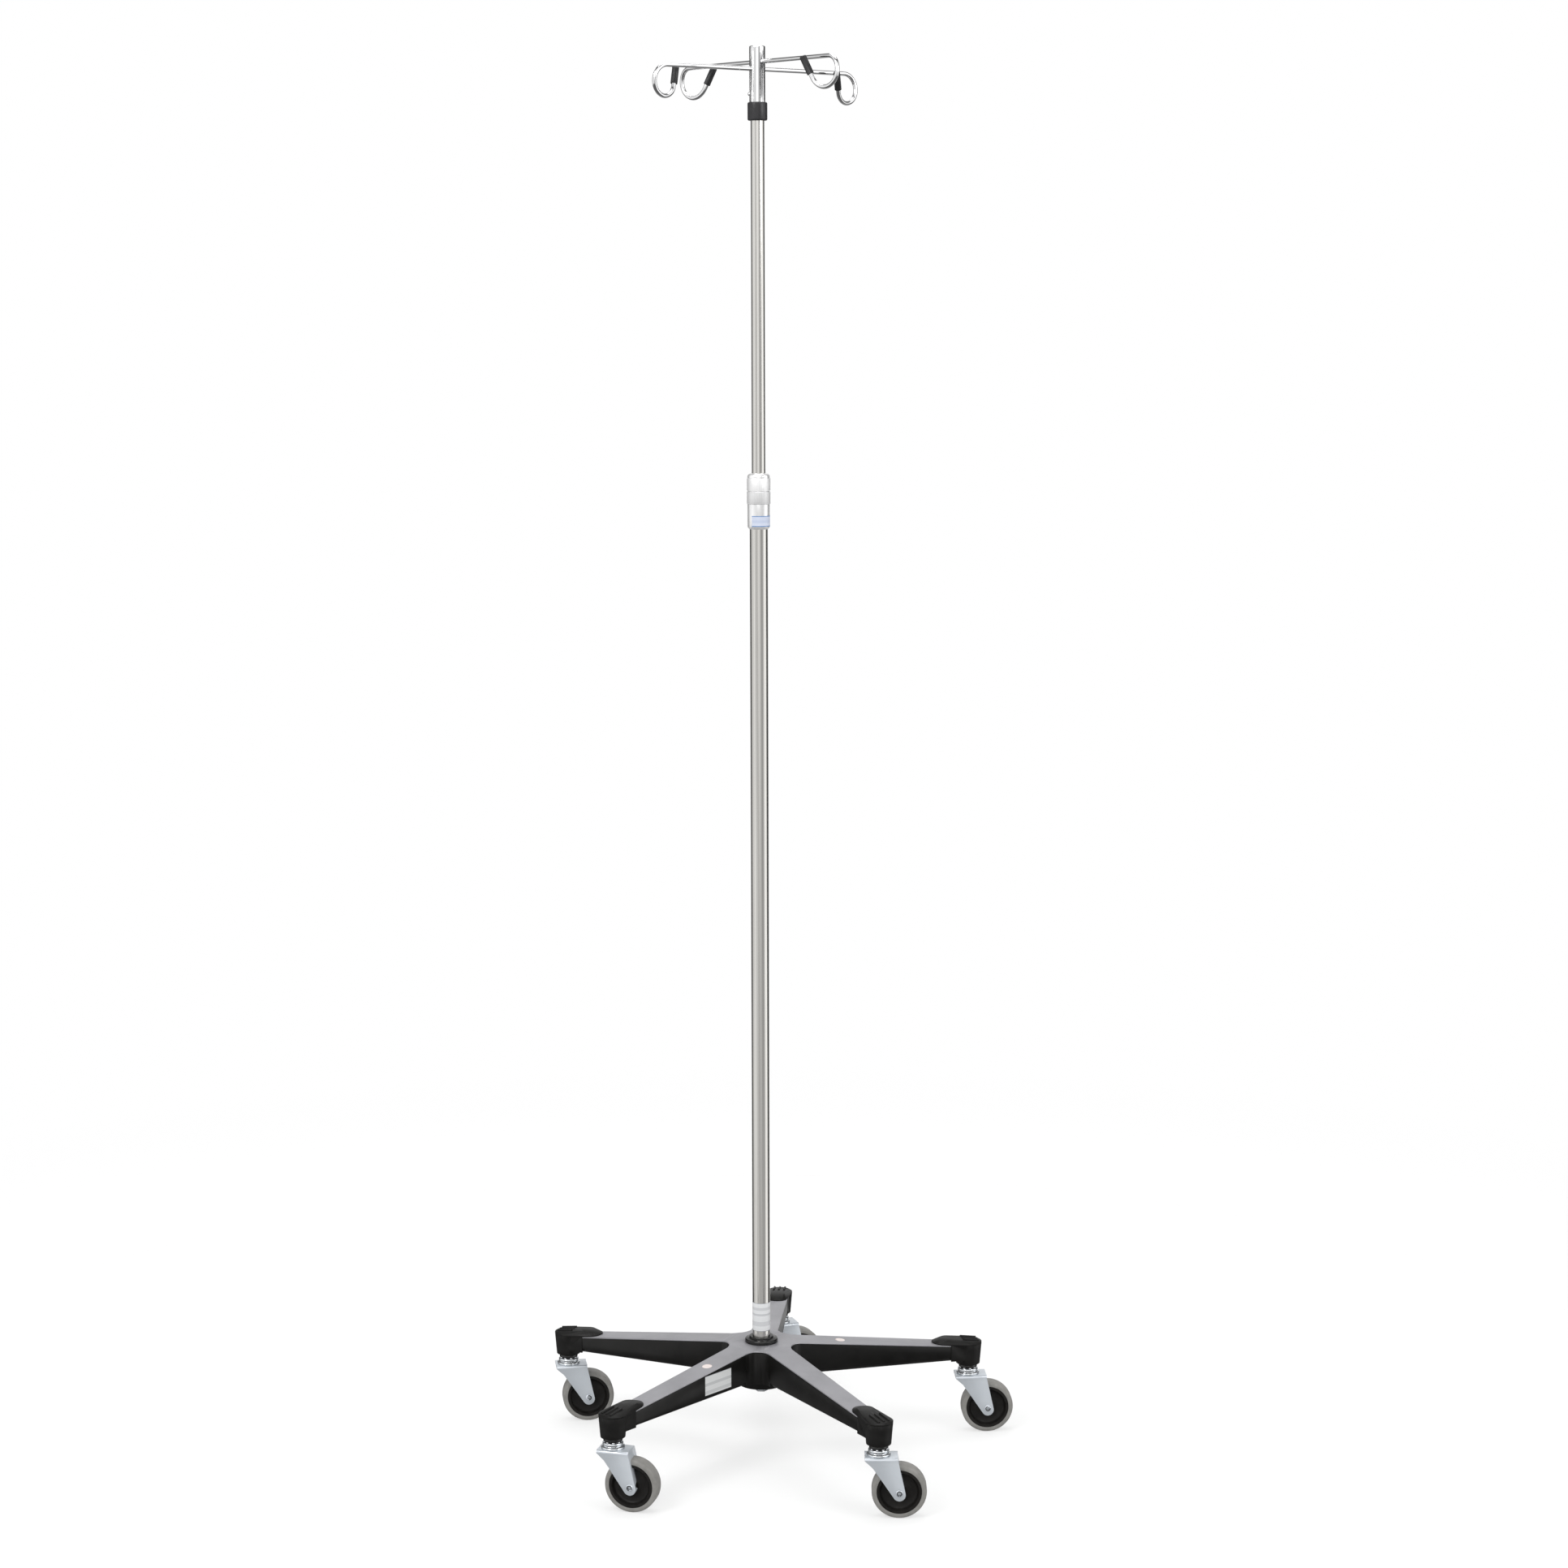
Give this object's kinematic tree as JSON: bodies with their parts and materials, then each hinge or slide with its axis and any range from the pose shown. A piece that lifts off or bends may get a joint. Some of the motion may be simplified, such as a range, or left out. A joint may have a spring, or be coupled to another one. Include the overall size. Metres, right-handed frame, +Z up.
{
  "type": "infusion pole",
  "caption": "Wheeled infusion pole: star base on swivel casters, telescoping steel mast with a twist lock, and looped bag hooks.",
  "frame": {"origin": "point on the floor on the pole's axis", "axes": "+Z up along the pole, +Y along the first leg, legs numbered clockwise from above"},
  "size_m": [0.683, 0.6274, 2.0015],
  "materials": {
    "black_moulding": "black moulded nylon with a fine texture",
    "cover_silver": "satin silver-grey cover plate with brighter bevelled edges",
    "zinc_plate": "bright zinc plated steel, slightly blue",
    "steel_plug": "plain steel",
    "black_cup": "glossy black acetal",
    "bearing_steel": "polished bearing steel",
    "tube_steel": "stainless tube, ground along its length",
    "chrome": "bright chrome plate",
    "white_nylon": "natural nylon",
    "black_sleeve": "black moulded sleeve, satin",
    "tip_rubber": "black vinyl dip, satin",
    "label_white": "blank white film label",
    "label_badge": "blank pale round sticker",
    "label_blue": "blank pale sticker with a blue border",
    "wheel_black": "black moulded wheel core, satin",
    "tyre_grey": "grey non-marking tyre"
  },
  "bodies": {
    "base": {"spider_base": "black_moulding", "star_cover": "cover_silver", "end_caps": "black_moulding", "hub_ring": "black_moulding", "hub_washer": "zinc_plate", "hub_bolt": "zinc_plate", "tube_plug": "steel_plug", "caster_stems": "zinc_plate", "swivel_cups": "black_cup", "swivel_balls": "bearing_steel", "outer_tube": "tube_steel", "lock_body": "chrome", "lock_collet": "white_nylon", "tube_label": "label_white", "leg_label": "label_white", "arm_badges": "label_badge", "lock_label": "label_blue"},
    "lock_grip": {"lock_knob": "chrome"},
    "mast_foot": {"guide_bush": "white_nylon"},
    "mast": {"inner_tube": "tube_steel", "neck_sleeve": "black_sleeve", "head_tube": "chrome", "head_cap": "chrome", "hook_rod_low": "chrome", "hook_rod_high": "chrome", "hook_tip_1": "tip_rubber", "hook_tip_2": "tip_rubber", "hook_tip_3": "tip_rubber", "hook_tip_4": "tip_rubber"},
    "button": {"snap_button": "chrome"},
    "swivel_1": {"fork_1": "zinc_plate", "raceway_1": "zinc_plate", "axle_1": "zinc_plate"},
    "wheel_1": {"wheel_core_1": "wheel_black", "tyre_1": "tyre_grey"},
    "swivel_2": {"fork_2": "zinc_plate", "raceway_2": "zinc_plate", "axle_2": "zinc_plate"},
    "wheel_2": {"wheel_core_2": "wheel_black", "tyre_2": "tyre_grey"},
    "swivel_3": {"fork_3": "zinc_plate", "raceway_3": "zinc_plate", "axle_3": "zinc_plate"},
    "wheel_3": {"wheel_core_3": "wheel_black", "tyre_3": "tyre_grey"},
    "swivel_4": {"fork_4": "zinc_plate", "raceway_4": "zinc_plate", "axle_4": "zinc_plate"},
    "wheel_4": {"wheel_core_4": "wheel_black", "tyre_4": "tyre_grey"},
    "swivel_5": {"fork_5": "zinc_plate", "raceway_5": "zinc_plate", "axle_5": "zinc_plate"},
    "wheel_5": {"wheel_core_5": "wheel_black", "tyre_5": "tyre_grey"}
  },
  "joints": [
    {"name": "lock_twist", "type": "hinge", "parent": "base", "child": "lock_grip", "pos_m": [0, 0, 1.394], "axis": [0, 0, 1], "range_deg": [0, 120]},
    {"name": "mast_slide", "type": "slide", "parent": "base", "child": "mast_foot", "axis": [0, 0, 1], "range_m": [-0.475, 0.53]},
    {"name": "mast_turn", "type": "hinge", "parent": "mast_foot", "child": "mast", "pos_m": [0, 0, 1.394], "axis": [0, 0, 1], "continuous": true},
    {"name": "button_press", "type": "slide", "parent": "mast", "child": "button", "axis": [0.9996, -0.0297, 0], "range_m": [0, 0.0026], "stiffness_N_per_m": 2500, "springref_m": -0.0008},
    {"name": "caster_swivel_1", "type": "hinge", "parent": "base", "child": "swivel_1", "pos_m": [0, 0.313, 0.0886], "axis": [0, 0, 1], "continuous": true},
    {"name": "caster_swivel_2", "type": "hinge", "parent": "base", "child": "swivel_2", "pos_m": [0.29768, 0.09672, 0.0886], "axis": [0, 0, 1], "continuous": true},
    {"name": "caster_swivel_3", "type": "hinge", "parent": "base", "child": "swivel_3", "pos_m": [0.18398, -0.25322, 0.0886], "axis": [0, 0, 1], "continuous": true},
    {"name": "caster_swivel_4", "type": "hinge", "parent": "base", "child": "swivel_4", "pos_m": [-0.18398, -0.25322, 0.0886], "axis": [0, 0, 1], "continuous": true},
    {"name": "caster_swivel_5", "type": "hinge", "parent": "base", "child": "swivel_5", "pos_m": [-0.29768, 0.09672, 0.0886], "axis": [0, 0, 1], "continuous": true},
    {"name": "wheel_spin_1", "type": "hinge", "parent": "swivel_1", "child": "wheel_1", "pos_m": [0.02565, 0.32496, 0.0381], "axis": [-0.4226, 0.9063, 0], "continuous": true},
    {"name": "wheel_spin_2", "type": "hinge", "parent": "swivel_2", "child": "wheel_2", "pos_m": [0.32571, 0.10066, 0.0381], "axis": [-0.1392, 0.9903, 0], "continuous": true},
    {"name": "wheel_spin_3", "type": "hinge", "parent": "swivel_3", "child": "wheel_3", "pos_m": [0.21221, -0.25125, 0.0381], "axis": [-0.0698, 0.9976, 0], "continuous": true},
    {"name": "wheel_spin_4", "type": "hinge", "parent": "swivel_4", "child": "wheel_4", "pos_m": [-0.15611, -0.25814, 0.0381], "axis": [0.1736, 0.9848, 0], "continuous": true},
    {"name": "wheel_spin_5", "type": "hinge", "parent": "swivel_5", "child": "wheel_5", "pos_m": [-0.27011, 0.10309, 0.0381], "axis": [-0.225, 0.9744, 0], "continuous": true}
  ]
}
